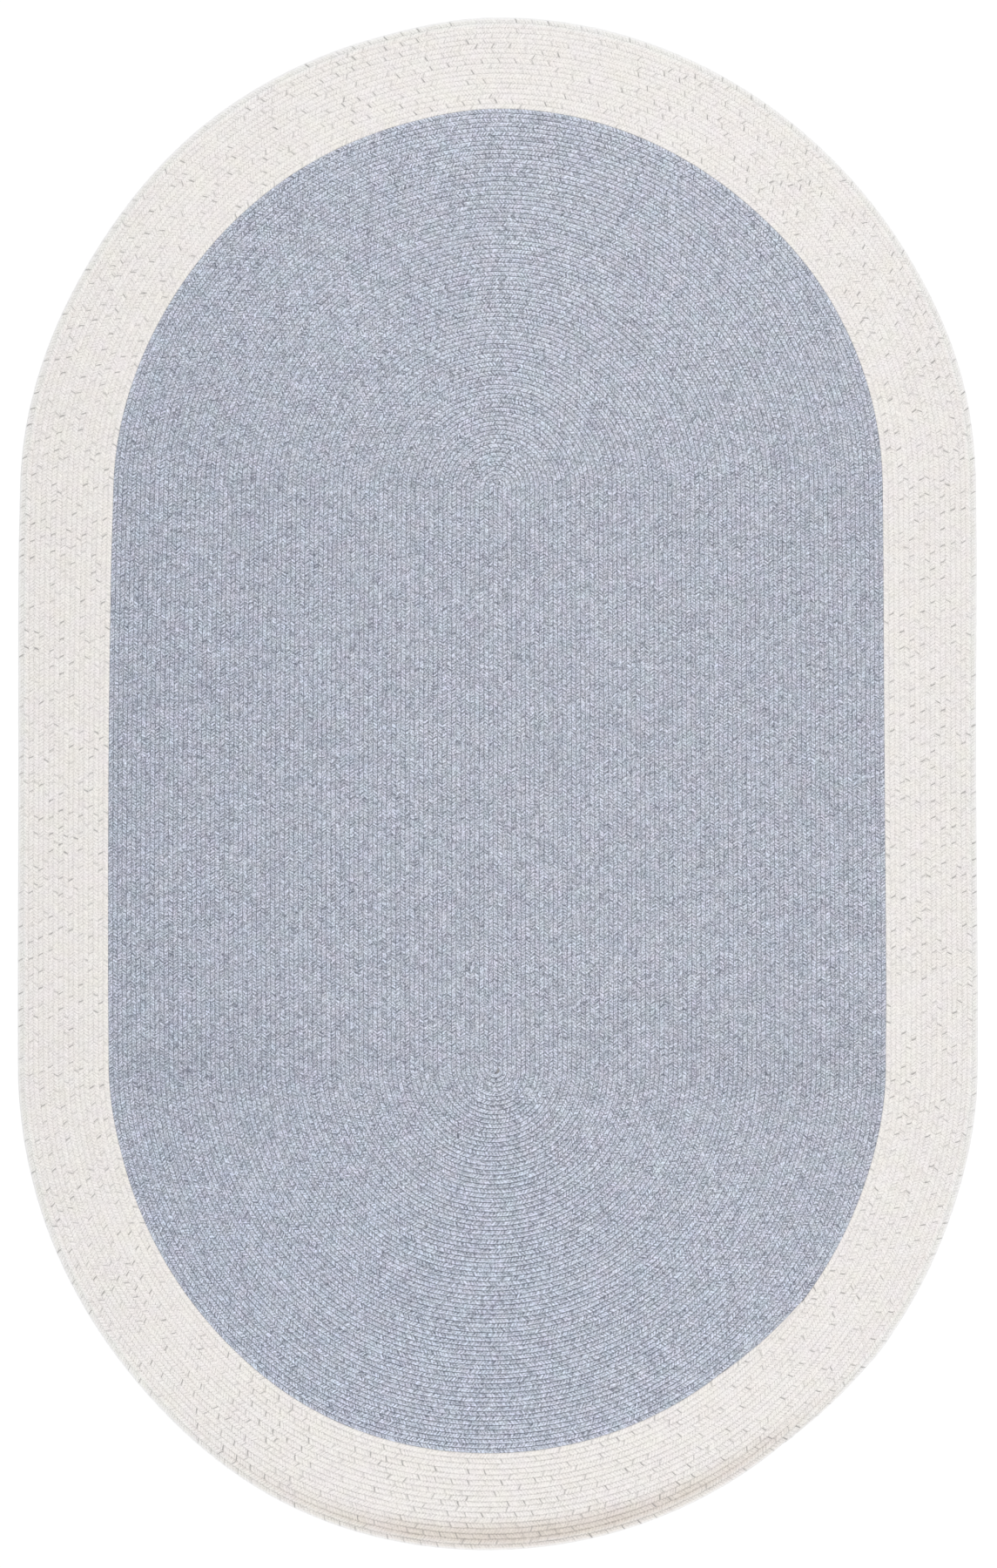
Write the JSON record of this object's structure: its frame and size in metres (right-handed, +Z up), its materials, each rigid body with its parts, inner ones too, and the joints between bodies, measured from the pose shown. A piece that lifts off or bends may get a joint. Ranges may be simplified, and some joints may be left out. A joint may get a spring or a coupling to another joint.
{
  "type": "braided rug",
  "caption": "Flat oval braided rug for a floor: blue-grey braid wound out from a straight core, edged with rounds of ivory braid sewn on in the same spiral",
  "frame": {"origin": "on the floor under the middle of the rug, at the middle of the flat underside", "axes": "+Y along the rug's length, +X across its width, +Z up from the floor; seen from above the spiral runs outwards clockwise"},
  "size_m": [1.525, 2.4346, 0.008],
  "materials": {
    "blue_grey_yarn": "dull heathered yarn, flat braid",
    "ivory_yarn": "dull yarn, flat braid with thin grey flecks"
  },
  "bodies": {
    "root": {"centre_braid": "blue_grey_yarn", "border_braid": "ivory_yarn"}
  },
  "joints": []
}
